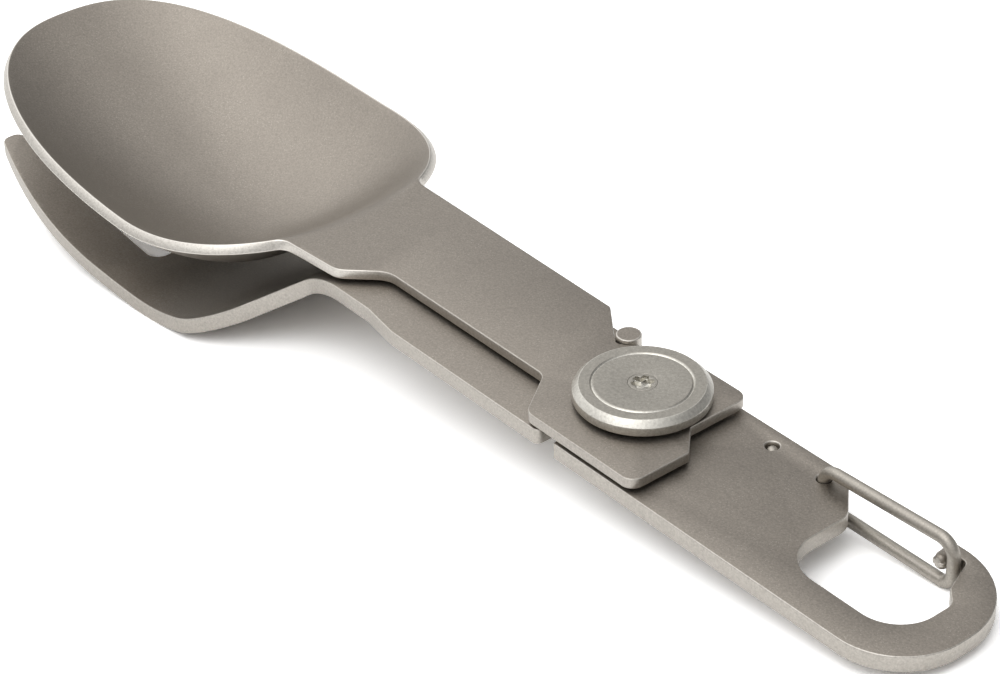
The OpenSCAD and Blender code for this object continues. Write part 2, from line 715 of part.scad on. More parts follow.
handle_plate();
fork();
spoon();
pivot_barrel();
spacer_washer();
cap_washer();
pivot_cap();
pivot_screw();
stop_pin();
gate_wire();
gate_wire_tail();
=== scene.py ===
import json
import math

import bmesh
import bpy
from mathutils import Matrix, Vector


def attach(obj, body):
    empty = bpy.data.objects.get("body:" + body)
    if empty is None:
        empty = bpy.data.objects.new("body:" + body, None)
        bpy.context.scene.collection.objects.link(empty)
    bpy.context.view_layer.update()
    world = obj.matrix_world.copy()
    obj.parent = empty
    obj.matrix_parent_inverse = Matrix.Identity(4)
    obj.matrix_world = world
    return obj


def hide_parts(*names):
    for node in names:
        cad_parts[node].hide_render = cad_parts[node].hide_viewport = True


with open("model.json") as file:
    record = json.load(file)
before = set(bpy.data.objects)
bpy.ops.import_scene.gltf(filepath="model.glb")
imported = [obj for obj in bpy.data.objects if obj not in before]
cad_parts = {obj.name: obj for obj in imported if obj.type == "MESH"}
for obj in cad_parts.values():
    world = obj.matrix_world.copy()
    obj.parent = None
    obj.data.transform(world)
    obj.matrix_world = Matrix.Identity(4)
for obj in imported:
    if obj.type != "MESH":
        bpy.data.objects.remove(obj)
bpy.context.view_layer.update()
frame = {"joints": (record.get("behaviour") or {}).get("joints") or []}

# The lying pose: the part rests on its fork's belly and on the gate's lower bend. Every piece
# is drawn flat, with the pivot's axis through the origin and the handle's underside at zero,
# and is then laid down as the CAD part is.
MM = 0.001
spoon_z = 2.5 * MM
swing = next(joint for joint in frame["joints"] if joint["name"] == "spoon_swing")
axis = Vector(swing["axis"])
laid = Matrix(((axis.z, 0, axis.x, 0), (0, 1, 0, 0), (-axis.x, 0, axis.z, 0), (0, 0, 0, 1)))
laid.translation = Vector(swing["pos_m"]) - axis * spoon_z

# The camera stands on the near side of the gate's end and looks down along the part, with a
# long lens and a slight roll.
camera_place = Vector((189.42, -171.05, 184.08)) * MM
camera_turn, camera_dip, camera_roll = 0.896971, 0.592737, -0.026826
flat_right = Vector((math.cos(camera_turn), math.sin(camera_turn), 0))
flat_ahead = Vector((-math.sin(camera_turn), math.cos(camera_turn), 0))
ahead = flat_ahead * math.cos(camera_dip) - Vector((0, 0, math.sin(camera_dip)))
over = flat_ahead * math.sin(camera_dip) + Vector((0, 0, math.cos(camera_dip)))
right = flat_right * math.cos(camera_roll) + over * math.sin(camera_roll)
over = over * math.cos(camera_roll) - flat_right * math.sin(camera_roll)
looking = Matrix((right, over, -ahead)).transposed().to_4x4()
looking.translation = camera_place
camera_data = bpy.data.cameras.new("photo_camera")
camera_data.sensor_width = 36
camera_data.lens = 102.21
camera_data.clip_start = 0.01
camera_data.clip_end = 20
camera = bpy.data.objects.new("photo_camera", camera_data)
camera.matrix_world = laid @ looking
bpy.context.scene.collection.objects.link(camera)
bpy.context.scene.camera = camera


# The table is a plain white sheet under a soft tent of light. The camera sees it whiter than
# the metal does, as in an overexposed photograph.
class Signal:
    """A node's socket, with the sums that the finishes need."""

    def __init__(self, nodes, socket):
        self.nodes, self.socket = nodes, socket

    def sum_with(self, operation, first, second):
        return self.nodes.node("ShaderNodeMath", {"operation": operation}, {0: first, 1: second})

    def __add__(self, other):
        return self.sum_with("ADD", self, other)

    __radd__ = __add__

    def __mul__(self, other):
        return self.sum_with("MULTIPLY", self, other)

    __rmul__ = __mul__

    def __sub__(self, other):
        return self.sum_with("SUBTRACT", self, other)

    def __rsub__(self, other):
        return self.sum_with("SUBTRACT", other, self)

    def __pow__(self, other):
        return self.sum_with("POWER", self, other)

    def clipped(self, low=0.0, high=1.0):
        return self.nodes.node("ShaderNodeClamp", {}, {"Value": self, "Min": low, "Max": high})


class Nodes:
    """A tree of nodes, and the one way in which its nodes are made."""

    def __init__(self, tree):
        self.tree = tree
        self.tree.nodes.clear()

    def node(self, kind, settings=None, sockets=None, output=0):
        made = self.tree.nodes.new(kind)
        for key, value in (settings or {}).items():
            setattr(made, key, value)
        for key, value in (sockets or {}).items():
            if isinstance(value, Signal):
                self.tree.links.new(value.socket, made.inputs[key])
            else:
                made.inputs[key].default_value = value
        return Signal(self, made.outputs[output]) if made.outputs else None


def new_material(name):
    """A material, with its tree still empty."""
    material = bpy.data.materials.new(name)
    material.use_nodes = True
    return material, Nodes(material.node_tree)


table_white, seen_gain, mirrored_gain = 0.8, 0.7, 0.3
white_table, table_nodes = new_material("white_table")
seen, mirrored, through = (table_nodes.node("ShaderNodeLightPath", output=ray)
                           for ray in ("Is Camera Ray", "Is Glossy Ray", "Is Transmission Ray"))
whiteness = seen * seen_gain + (mirrored + through) * mirrored_gain + table_white
table_nodes.node("ShaderNodeOutputMaterial", sockets={
    "Surface": table_nodes.node("ShaderNodeBsdfDiffuse", sockets={"Color": whiteness})})

# Beyond the handle's end the sheet sags to a wide hollow, so that the bowl of the swung-out
# spoon finds room
table_half = 3.0
swung_out = laid @ Matrix.Rotation(math.radians(swing["range_deg"][1]), 4, "Z")
hollow_middle, hollow_long, hollow_wide, hollow_deep = -86.0, 42.0, 28.0, 12.0
hollow_steps, hollow_power = 48, 1.5
shares = [2 * k / hollow_steps - 1 for k in range(hollow_steps + 1)]
table_points = []
for across in shares:
    for along in shares:
        flat = Vector(((hollow_middle + along * hollow_long) * MM, across * hollow_wide * MM, 0))
        place = swung_out @ flat
        sag = max(0, 1 - along ** 2 - across ** 2) ** hollow_power
        table_points.append((place.x, place.y, -hollow_deep * MM * sag))
row = hollow_steps + 1
table_faces = [(k, k + 1, k + row + 1, k + row)
               for k in range(row * hollow_steps) if k % row < hollow_steps]
inner = [0, hollow_steps, row * row - 1, row * hollow_steps]
outer = [len(table_points) + k for k in range(4)]
table_points += [(x * table_half, y * table_half, 0) for x, y in ((1, 1), (-1, 1), (-1, -1), (1, -1))]
table_faces += [(inner[k], inner[k - 1], outer[k - 1], outer[k]) for k in range(4)]
table_mesh = bpy.data.meshes.new("table")
table_mesh.from_pydata(table_points, [], table_faces)
table_mesh.shade_smooth()
table_mesh.materials.append(white_table)
table = bpy.data.objects.new("table", table_mesh)
bpy.context.scene.collection.objects.link(table)

world = bpy.data.worlds.new("tent")
world.use_nodes = True
bpy.context.scene.world = world
tent = Nodes(world.node_tree)
toward = tent.node("ShaderNodeTexCoord", output="Generated")
tent_light, lobe_power = 0.3, 4
tent_lobes = (((-0.940, 0, 0.342), 0.57), ((-0.574, 0, 0.819), 0.80), ((-0.287, -0.497, 0.819), 0.16),
              ((0.287, -0.497, 0.819), 1.15), ((0, 0, 1), 0.40))
for side, strength in tent_lobes:
    facing = tent.node("ShaderNodeVectorMath", {"operation": "DOT_PRODUCT"}, {0: toward, 1: side}, "Value")
    tent_light = tent_light + facing.clipped() ** lobe_power * strength
tent.node("ShaderNodeOutputWorld", sockets={"Surface": tent.node(
    "ShaderNodeBackground", sockets={"Color": (1, 1, 1, 1), "Strength": tent_light})})

lamp_place = Vector((0.12, -0.30, 0.46))
lamp_data = bpy.data.lights.new("front", "AREA")
lamp_data.shape = "SQUARE"
lamp_data.size = 0.35
lamp_data.energy = 0.35
lamp = bpy.data.objects.new("front", lamp_data)
lamp.location = lamp_place
lamp.rotation_euler = (-lamp_place).to_track_quat("-Z", "Y").to_euler()
bpy.context.scene.collection.objects.link(lamp)
bpy.context.scene.view_settings.view_transform = "Standard"


# Handle plate: 2 mm titanium plate, cut to a hook around the clip's eye, with its edges
# tumbled round and the whole bead-blasted. It has two holes for the gate's wire, and under
# the pivot it goes on at half its thickness as a tongue, which the fork laps.
def unit(v):
    return v / v.length


def rounded(corners, degrees):
    """The outline through corners (x, y, radius), with an arc at each, a point every few degrees."""
    points, n = [], len(corners)
    for i, (x, y, radius) in enumerate(corners):
        here = Vector((x, y))
        if radius == 0:
            points.append(here)
            continue
        before, after = Vector(corners[i - 1][:2]), Vector(corners[(i + 1) % n][:2])
        u, v = unit(before - here), unit(after - here)
        half = math.acos(max(-1, min(1, u.dot(v)))) / 2
        middle = here + unit(u + v) * radius / math.sin(half)
        start = here + u * radius / math.tan(half) - middle
        end = here + v * radius / math.tan(half) - middle
        first = math.atan2(start.y, start.x)
        sweep = (math.atan2(end.y, end.x) - first + 3 * math.pi) % (2 * math.pi) - math.pi
        steps = max(2, round(abs(math.degrees(sweep)) / degrees))
        turns = [first + sweep * k / steps for k in range(steps + 1)]
        points += [middle + radius * Vector((math.cos(turn), math.sin(turn))) for turn in turns]
    return points


def round_hole(x, y, radius, steps=40):
    turns = [-2 * math.pi * k / steps for k in range(steps)]
    return [Vector((x + radius * math.cos(turn), y + radius * math.sin(turn))) for turn in turns]


def rectangle(front, rear, half):
    return [Vector((front, -half)), Vector((rear, -half)), Vector((rear, half)), Vector((front, half))]


def inset(loop, amount):
    """The loop moved to its left by an amount, which is inward on an outline and outward on a hole."""
    moved, n, sharpest = [], len(loop), 0.3
    for i, here in enumerate(loop):
        a, b = unit(here - loop[i - 1]), unit(loop[(i + 1) % n] - here)
        na, nb = Vector((-a.y, a.x)), Vector((-b.y, b.x))
        moved.append(here + (na + nb) * amount / max(sharpest, 1 + na.dot(nb)))
    return moved


edge_steps, edge_wear_and_sheen, painted_cut_side_sheen = 3, 0.85, 0.5


def cut_plate(loops, low, high, edges):
    """A flat plate with round edges, from loops in millimetres, as a bmesh in metres.

    The first loop is the outline and the others are holes, and edges are their roundings. The
    plate's edge layer tells how worn the roundings are, and how much painted sheen lightens them
    and the cut sides.
    """
    plate = bmesh.new()
    mask = plate.verts.layers.float.new("edge")
    turns = [k * math.pi / 2 / edge_steps for k in range(edge_steps + 1)]
    low, high = low * MM, high * MM
    ends = ([], [])
    for loop, edge in zip(loops, edges):
        loop, edge = [Vector((p.x * MM, p.y * MM)) for p in loop], edge * MM
        rows = [(edge * (1 - math.sin(t)), low + edge * (1 - math.cos(t)), t) for t in turns]
        rows += [(edge * (1 - math.sin(t)), high - edge * (1 - math.cos(t)), t) for t in reversed(turns)]
        rings = []
        for back, z, turn in rows:
            ring = [plate.verts.new((p.x, p.y, z)) for p in inset(loop, back)]
            for vert in ring:
                # The roundings get wear with painted sheen, and the cut sides painted sheen alone.
                vert[mask] = max(edge_wear_and_sheen * math.sin(2 * turn), painted_cut_side_sheen if turn > 1 else 0)
            rings.append(ring)
        n = len(loop)
        for lower, upper in zip(rings, rings[1:]):
            for i in range(n):
                plate.faces.new((lower[i], lower[(i + 1) % n], upper[(i + 1) % n], upper[i]))
        for end, ring in zip(ends, (rings[0], rings[-1])):
            end += [plate.edges.get((ring[i], ring[(i + 1) % n])) for i in range(n)]
    for end in ends:
        bmesh.ops.triangle_fill(plate, use_beauty=True, use_dissolve=False, edges=end)
    bmesh.ops.recalc_face_normals(plate, faces=plate.faces[:])
    return plate


def slice_up(plate, direction, places, keep=None):
    """Cuts the plate's faces at places along x (0) or y (1), so that it can be bent smoothly."""
    snap = 1e-8
    for place in places:
        plane = place * MM
        faces = [f for f in plate.faces if keep is None or keep(f)]
        cut = [f for f in faces
               if min(v.co[direction] for v in f.verts) < plane < max(v.co[direction] for v in f.verts)]
        cut += [e for f in cut for e in f.edges] + [v for f in cut for v in f.verts]
        bmesh.ops.bisect_plane(plate, geom=list(set(cut)), dist=snap,
                               plane_co=[plane if k == direction else 0 for k in range(3)],
                               plane_no=[1 if k == direction else 0 for k in range(3)])


def combined(shape, other, operation):
    """The shape with another one joined to it or cut from it."""
    pair = []
    for part in (shape, other):
        mesh = bpy.data.meshes.new("part")
        part.to_mesh(mesh)
        part.free()
        pair.append(bpy.data.objects.new("part", mesh))
        bpy.context.scene.collection.objects.link(pair[-1])
    change = pair[0].modifiers.new("change", "BOOLEAN")
    change.operation, change.solver, change.object = operation, "EXACT", pair[1]
    changed = bpy.data.meshes.new_from_object(pair[0].evaluated_get(bpy.context.evaluated_depsgraph_get()))
    result = bmesh.new()
    result.from_mesh(changed)
    for part in pair:
        bpy.data.objects.remove(part)
    return result


def set_out(name, mesh, body, replaced):
    """Makes a mesh a piece, which rides a body and stands for a CAD node."""
    piece = bpy.data.objects.new(name, mesh)
    bpy.context.scene.collection.objects.link(piece)
    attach(piece, body)
    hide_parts(replaced)


def finished(name, shape, finish, body, replaced):
    """Lays a drawn shape down and makes it a piece with a finish."""
    sharp_edge = math.radians(40)
    shape.transform(laid)
    bmesh.ops.triangulate(shape, faces=[f for f in shape.faces if len(f.verts) > 4])
    mesh = bpy.data.meshes.new(name)
    shape.to_mesh(mesh)
    shape.free()
    mesh.shade_smooth()
    mesh.set_sharp_from_angle(angle=sharp_edge)
    mesh.materials.append(finish)
    set_out(name, mesh, body, replaced)


def blasted(name, colour, worn_and_sheen, roughness, depth, dimple_scale=3800.0):
    """Bead-blasted metal: fine dimples with painted glints, a faint mottle, and polished edges with
    painted sheen.
    """
    painted_glint_scale, mottle_scale = 3600.0, 160.0
    painted_glint_size, painted_glint_edge, painted_glint_mottle = 0.30, 3, 2
    mean, dimple_tone, mottle_tone, painted_glint_tone = 0.5, 1.9, 0.25, 0.4
    darker, lighter = 0.78, 1.22
    dimple_wear_and_sheen, even_wear_and_sheen, painted_glint_lift = 1.3, 0.25, 0.45
    dimple_rough, worn_rough, smoothest, roughest = 0.25, 0.12, 0.2, 0.9
    dimple_deep, painted_glint_deep = 0.00004, 0.3

    material, nodes = new_material(name)
    place = nodes.node("ShaderNodeTexCoord", output="Object")
    dimples = nodes.node("ShaderNodeTexNoise", {}, {
        "Vector": place, "Scale": dimple_scale, "Detail": 3.0, "Roughness": 0.65}, "Fac")
    cells = nodes.node("ShaderNodeTexVoronoi", {}, {"Vector": place, "Scale": painted_glint_scale}, "Distance")
    mottle = nodes.node("ShaderNodeTexNoise", {}, {
        "Vector": place, "Scale": mottle_scale, "Detail": 4.0, "Roughness": 0.6}, "Fac")
    rubbed_and_sheen = nodes.node("ShaderNodeAttribute", {"attribute_name": "edge"}, {}, "Fac")
    # Painted glints: light specks put into the base colour, standing in for sparkle, and dented a little.
    painted_glint = ((painted_glint_size - cells) * painted_glint_edge).clipped() * (mottle * painted_glint_mottle - mean).clipped()
    tone = (dimples - mean) * dimple_tone + (mottle - mean) * mottle_tone + mean + painted_glint * painted_glint_tone
    dark = [c * darker for c in colour] + [1]
    light = [min(1, c * lighter) for c in colour] + [1]
    grain_and_painted_glints = nodes.node("ShaderNodeMix", {"data_type": "RGBA"}, {
        "Factor": tone.clipped(), 6: dark, 7: light}, 2)
    # The lighter worn colour goes on worn edges as polish with painted sheen, and on the painted glints.
    wear_and_painted_sheen = (rubbed_and_sheen * (dimples * dimple_wear_and_sheen + even_wear_and_sheen) + painted_glint * painted_glint_lift).clipped()
    base = nodes.node("ShaderNodeMix", {"data_type": "RGBA"}, {
        "Factor": wear_and_painted_sheen, 6: grain_and_painted_glints, 7: list(worn_and_sheen) + [1]}, 2)
    rough = (dimples - mean) * dimple_rough + roughness - wear_and_painted_sheen * worn_rough
    relief = nodes.node("ShaderNodeBump", {}, {
        "Strength": depth, "Distance": dimple_deep, "Height": dimples - painted_glint * painted_glint_deep})
    nodes.node("ShaderNodeOutputMaterial", sockets={"Surface": nodes.node("ShaderNodeBsdfPrincipled", {}, {
        "Base Color": base, "Metallic": 1.0, "Roughness": rough.clipped(smoothest, roughest),
        "Normal": relief})})
    return material


blasted_titanium = blasted("blasted_titanium", (0.295, 0.266, 0.232), (0.66, 0.63, 0.58), 0.46, 0.5)

plate_t, plate_edge = 2.0, 0.16
handle_near, handle_far, handle_front, handle_rear = -11.2, 8.8, -2.2, 49.8
front_r, end_near_r, end_far_r = 0.4, 8.63, 9.965
eye_front, eye_rear, eye_near, eye_r = 28.1, 45.1, -6.55, 5.0
mouth_long, mouth_deep, mouth_r = 4.9, 5.096, 3.0
gate_x, gate_y, gate_end_x, anchor_x = 21.8, 6.4, 40.5, 13.9
wire_r, wire_play, hole_play, gate_hole_edge, anchor_hole_edge = 0.725, 0.24, 0.08, 0.28, 0.2
hook_slot_w, slot_far, slot_foot, slot_foot_long, slot_foot_r = 1.9, 7.3, 2.9, 1.8, 1.0
nose_w, nose_tip, nose_r, eye_corner_drop, eye_corner_r = 1.6, 5.8, 0.45, 1.7, 1.8
slot_front = gate_end_x - wire_r - wire_play
slot_rear = slot_front + hook_slot_w
nose_front = slot_front - nose_w
handle_corners = [
    (handle_front, handle_near, front_r), (handle_rear, handle_near, end_near_r),
    (handle_rear, handle_far, end_far_r), (nose_front, handle_far, nose_r),
    (nose_front, nose_tip, nose_r), (slot_front, nose_tip, nose_r),
    (slot_front, slot_far, wire_r), (slot_rear, slot_far, wire_r),
    (slot_rear + slot_foot_long, slot_foot, slot_foot_r),
    (eye_rear, slot_foot - eye_corner_drop, eye_corner_r),
    (eye_rear, eye_near, eye_r), (eye_front, eye_near, eye_r),
    (eye_front, handle_far - mouth_deep, mouth_r), (eye_front - mouth_long, handle_far, mouth_r),
    (handle_front, handle_far, front_r)]
wire_holes = [round_hole(hole_x, gate_y, wire_r + hole_play) for hole_x in (gate_x, anchor_x)]
handle = cut_plate([rounded(handle_corners, degrees=5), *wire_holes], 0, plate_t,
                   [plate_edge, gate_hole_edge, anchor_hole_edge])

# The nose is tumbled until its tip is as round as a bullet
nose_middle, nose_half = (nose_front + slot_front) / 2, (slot_front - nose_front) / 2
nose_round, nose_root, nose_slack, plate_middle = 1.0, 8.4, 0.01, plate_t / 2
bullet_power, bullet_share, bullet_long, bullet_fade = 2.4, 0.75, 2.6, 1.4
slices_y = [nose_tip + 0.12 * k for k in range(1, 22)]
slices_x = [nose_middle + 0.16 * k for k in range(-4, 5)]


def on_nose(vert):
    return (abs(vert.co.x / MM - nose_middle) < nose_half + nose_slack
            and nose_tip - nose_slack < vert.co.y / MM < nose_root)


slice_up(handle, 1, slices_y, lambda f: any(on_nose(v) for v in f.verts))
slice_up(handle, 0, slices_x, lambda f: all(on_nose(v) for v in f.verts))
for vert in handle.verts:
    if on_nose(vert):
        x, y, z = vert.co / MM
        off = math.hypot((x - nose_middle) / nose_half, max(0, nose_tip + nose_round - y) / nose_round)
        fades = min(1, (nose_tip + bullet_long - y) / bullet_fade)
        thins = fades * (1 - (1 - min(1, off) ** bullet_power) ** 0.5) * bullet_share
        vert.co.z = (plate_middle + (z - plate_middle) * (1 - thins)) * MM

# The tongue, and over it the round step that the fork's own tongue fills
lap_play, lap_edge, cutter_edge = 0.1, 0.06, 0.01
tongue_front, tongue_half, tongue_r = -16.0, 5.0, 6.6
handle_tongue = cut_plate([rectangle(tongue_front, 0, tongue_half)],
                          0, plate_middle - lap_play / 2, [lap_edge])
handle = combined(handle, handle_tongue, "UNION")
step_loop = round_hole(0, 0, tongue_r + lap_play, steps=96)[::-1]
handle = combined(handle, cut_plate([step_loop], plate_middle, 2 * plate_t, [cutter_edge]), "DIFFERENCE")
finished("handle", handle, blasted_titanium, "frame", "handle_plate")


# Fork: the same plate, blanked with four tines and bent over a former, down a ramp and up
# again along the tines. Its tail goes on at half its thickness too, over the handle's tongue,
# and it has a bore for the stop pin.
bend_x, bend_r, ramp = 42.5, 12.0, math.radians(36)
belly_r, belly_top, sweep_r = 32.5, plate_t - 13.2, 190.0
ramp_top_x = -bend_x - bend_r * math.sin(ramp)
ramp_top_z = plate_t - bend_r * (1 - math.cos(ramp))
ramp_foot_z = belly_top + belly_r * (1 - math.cos(ramp))
ramp_foot_x = ramp_top_x - (ramp_top_z - ramp_foot_z) / math.tan(ramp)
belly_x = ramp_foot_x - belly_r * math.sin(ramp)


def fork_height(x):
    """The height of the fork's upper face and its slope, at a distance along the part."""
    if x > -bend_x:
        return plate_t, 0
    if x > ramp_top_x:
        rise = math.sqrt(bend_r ** 2 - (x + bend_x) ** 2)
        return plate_t - bend_r + rise, -(x + bend_x) / rise
    if x > ramp_foot_x:
        return ramp_top_z + (x - ramp_top_x) * math.tan(ramp), math.tan(ramp)
    radius = belly_r if x > belly_x else sweep_r
    rise = math.sqrt(radius ** 2 - (x - belly_x) ** 2)
    return belly_top + radius - rise, (x - belly_x) / rise


tail_x, tail_r, stem_near, stem_far = -4.9, 0.8, 11.1, 8.8
neck_front, neck_rear, neck_inset, neck_r = 31.0, 36.6, 0.9, 4.0
flare_x, head_x, taper_x, head_half = 47.5, 65.0, 84.0, 19.1
tip_x, tip_half, tip_r, tine_tip_w, inner_reach = 114.2, 14.0, 1.3, 3.0, 1.4
root_x, slot_pitch, slot_w, root_share = 80.3, 10.4, 3.8, 0.49
flare_steps, taper_steps = 24, 16


def fork_half(x, stem):
    """Half the width of the fork's head, which flares from the stem and tapers to the tips."""
    if x < head_x:
        neck = stem - neck_inset
        share = (1 - math.cos(math.pi * (x - flare_x) / (head_x - flare_x))) / 2
        return neck + (head_half - neck) * share
    return head_half - (head_half - tip_half) * max(0, (x - taper_x) / (tip_x - taper_x)) ** 2


def fork_side(stem, side):
    """One long side of the fork, from its stem to the tip of its outer tine."""
    places = [flare_x + (head_x - flare_x) * k / flare_steps for k in range(flare_steps + 1)]
    places += [taper_x + (tip_x - taper_x) * k / taper_steps for k in range(taper_steps + 1)]
    corners = [(-neck_front, side * stem, neck_r), (-neck_rear, side * (stem - neck_inset), neck_r)]
    corners += [(-x, side * fork_half(x, stem), 0) for x in places]
    return corners[:-1] + [corners[-1][:2] + (tip_r,)]


tip_middles = [k * (tip_half - tine_tip_w / 2) / 3 for k in (-3, -1, 1, 3)]
reaches = [tip_x, tip_x + inner_reach, tip_x + inner_reach, tip_x]
slots = []
for k in range(3):
    middle = (k - 1) * slot_pitch
    slots += [(-reaches[k], tip_middles[k] + tine_tip_w / 2, tip_r),
              (-root_x, middle - slot_w / 2, slot_w * root_share),
              (-root_x, middle + slot_w / 2, slot_w * root_share),
              (-reaches[k + 1], tip_middles[k + 1] - tine_tip_w / 2, tip_r)]
fork_corners = [(tail_x, -stem_near, tail_r), *fork_side(stem_near, -1), *slots,
                *fork_side(stem_far, 1)[::-1], (tail_x, stem_far, tail_r)]
pin_x, pin_y, pin_r, pin_play, bore_edge = -10.15, 7.0, 1.5, 0.03, 0.06
pin_bore = round_hole(pin_x, pin_y, pin_r + pin_play)
fork = cut_plate([rounded(fork_corners, degrees=9)[::-1], pin_bore], 0, plate_t, [plate_edge, bore_edge])
bend_step, tine_x, tine_step = 0.75, 85, 2
slice_up(fork, 0, [-(bend_x + bend_step * k) for k in range(56)])
slice_up(fork, 0, [-(tine_x + tine_step * k) for k in range(15)])
for vert in fork.verts:
    height, slope = fork_height(vert.co.x / MM)
    vert.co.z = height * MM - (plate_t * MM - vert.co.z) * math.sqrt(1 + slope ** 2)

recess = rectangle(tongue_front - lap_play, 0, tongue_half + lap_play)
fork = combined(fork, cut_plate([recess], -plate_t, plate_middle, [cutter_edge]), "DIFFERENCE")
tongue_steps, tongue_root = 40, tail_x - 1
meets = math.atan2(tongue_half, -math.sqrt(tongue_r ** 2 - tongue_half ** 2))
tongue_turns = [meets * k / tongue_steps for k in range(-tongue_steps, tongue_steps + 1)]
tongue_loop = [Vector((tongue_root, -tongue_half)),
               *(Vector((tongue_r * math.cos(turn), tongue_r * math.sin(turn))) for turn in tongue_turns),
               Vector((tongue_root, tongue_half))]
fork = combined(fork, cut_plate([tongue_loop], plate_middle + lap_play / 2, plate_t, [lap_edge]), "UNION")
finished("fork", fork, blasted_titanium, "frame", "fork")


# Spoon: one 1.3 mm titanium sheet, blanked with its notched and pronged tail, its bowl
# pressed so that the rim dips and rises again to the tip. It turns on the pivot's barrel.
sheet_t, sheet_edge, spoon_top = 1.3, 0.14, 3.8
bowl_x, bowl_half, bowl_back, bowl_front, bowl_depth = -73.0, 20.8, 21.9, 44.7, 9.5
back_power, front_power, crease_power, crease_gain = 2.2, 2.5, 4, 0.5
rim_dip, rim_back, dip_power, tip_rise, rise_power = 1.7, 19.5, 1.2, 3.9, 1.6
wall_share, level_share, feeler = 0.985, 0.12, 0.05


def bowl_plan(backward):
    """The bowl's reach from its widest place and the power of its outline, to the stem or to the tip."""
    return (bowl_back, back_power) if backward else (bowl_front, front_power)


def rim_point(a):
    reach, n = bowl_plan(math.cos(a) > 0)
    return (bowl_x + math.copysign(reach * abs(math.cos(a)) ** (2 / n), math.cos(a)),
            math.copysign(bowl_half * abs(math.sin(a)) ** (2 / n), math.sin(a)))


def rim_height(x):
    if x > bowl_x:
        return -rim_dip * max(0, 1 - ((x - bowl_x) / rim_back) ** 2) ** dip_power
    return -rim_dip + tip_rise * ((bowl_x - x) / bowl_front) ** rise_power


def bowl_height(x, y):
    """The height of the spoon's upper face over its stem, and the share of the way to the rim."""
    reach, n = bowl_plan(x > bowl_x)
    dx, dy = abs(x - bowl_x) / reach, abs(y) / bowl_half
    share = (dx ** n + dy ** n) ** (1 / n)
    c = dx ** (n / 2)
    s = dy ** (n / 2)
    stemward = c / math.hypot(c, s) if x > bowl_x and c > 0 else 0
    ease = 1 + stemward ** crease_power * crease_gain
    return rim_height(x) - bowl_depth * max(0, 1 - share ** 2) ** ease, share


def bowl_normal(x, y):
    """The direction square to the sheet, which goes on to the cut edge of the rim."""
    share = bowl_height(x, y)[1]
    if share > wall_share:
        x, y = bowl_x + (x - bowl_x) * wall_share / share, y * wall_share / share
    slope_x = (bowl_height(x + feeler, y)[0] - bowl_height(x - feeler, y)[0]) / (2 * feeler)
    slope_y = (bowl_height(x, y + feeler)[0] - bowl_height(x, y - feeler)[0]) / (2 * feeler)
    stays = max(0, min(1, 1 - (share - 1) / level_share))
    return unit(Vector((-slope_x * stays, -slope_y * stays, 1)))


notch_y, notch_left, notch_right, notch_r, lobe_r = 4.997, -16.19, -4.64, 0.9, 0.54
stem_half, lobe_y, cut_y, prong_y, shoulder_r = 9.55, 9.15, 5.15, 11.15, 2.5
cut_bowl_x, cut_pivot_x, cut_start_r, cut_bowl_r, cut_pivot_r = -39.1, -10.8, 3.0, 3.4, 1.8
prong_x, tail_near_x, tail_near_r, tail_far_x, tail_far_r = -6.6, 10.7, 1.6, 7.4, 1.6
step_near_y, step_far_y, step_r = -2.9, 0.4, 0.64
barrel_r, barrel_play, rim_steps = 3.0, 0.06, 220
shoulder = math.asin(stem_half / bowl_half)
gusset = shoulder + math.radians(6)
rim_turns = [gusset + (2 * math.pi - 2 * gusset) * k / rim_steps for k in range(rim_steps + 1)]
spoon_corners = [
    (notch_right, lobe_y, lobe_r), (pin_x, notch_y, notch_r), (notch_left, stem_half, notch_r),
    rim_point(shoulder) + (shoulder_r,), *(rim_point(turn) + (0,) for turn in rim_turns),
    rim_point(-shoulder) + (shoulder_r,), (cut_bowl_x - (stem_half - cut_y), -stem_half, cut_start_r),
    (cut_bowl_x, -cut_y, cut_bowl_r), (cut_pivot_x, -cut_y, cut_pivot_r), (prong_x, -prong_y, cut_pivot_r),
    (tail_near_x, -prong_y, tail_near_r), (tail_near_x, step_near_y, step_r),
    (tail_far_x, step_far_y, step_r), (tail_far_x, lobe_y, tail_far_r)]
spoon_bore = round_hole(0, 0, barrel_r + barrel_play, steps=64)
spoon = cut_plate([rounded(spoon_corners, degrees=6), spoon_bore], 0, sheet_t, [sheet_edge, sheet_edge])

bowl_end, slices_begin, rim_wear_and_sheen, tail_wear_and_sheen = -42.0, -42.5, 1.9, 0.8
slices_near, step_x, step_y = -20.7, 0.8, 0.9
slice_up(spoon, 0, [slices_begin - step_x * k for k in range(95)])
slice_up(spoon, 1, [slices_near + step_y * k for k in range(47)],
         lambda f: f.calc_center_median().x < bowl_end * MM)
spoon_edge = spoon.verts.layers.float["edge"]
for vert in spoon.verts:
    x, y, z = vert.co / MM
    # The bowl's rim edges get more wear and painted sheen, and the tail's edges less.
    vert[spoon_edge] *= rim_wear_and_sheen if x < bowl_end else tail_wear_and_sheen
    top = Vector((x, y, spoon_top + bowl_height(x, y)[0]))
    square = bowl_normal(x, y) if x < bowl_end else Vector((0, 0, 1))
    vert.co = (top - square * (sheet_t - z)) * MM
finished("spoon", spoon, blasted_titanium, "spoon", "spoon")


# Pivot: turned parts. A barrel whose foot shows below, two washers, and a cap with a polished
# chamfer and a ring groove, both lightened by painted highlight, held by a small screw with a
# six-lobe recess.
turned_arc, on_axis, recess_lobes = 15, 1e-6, 6


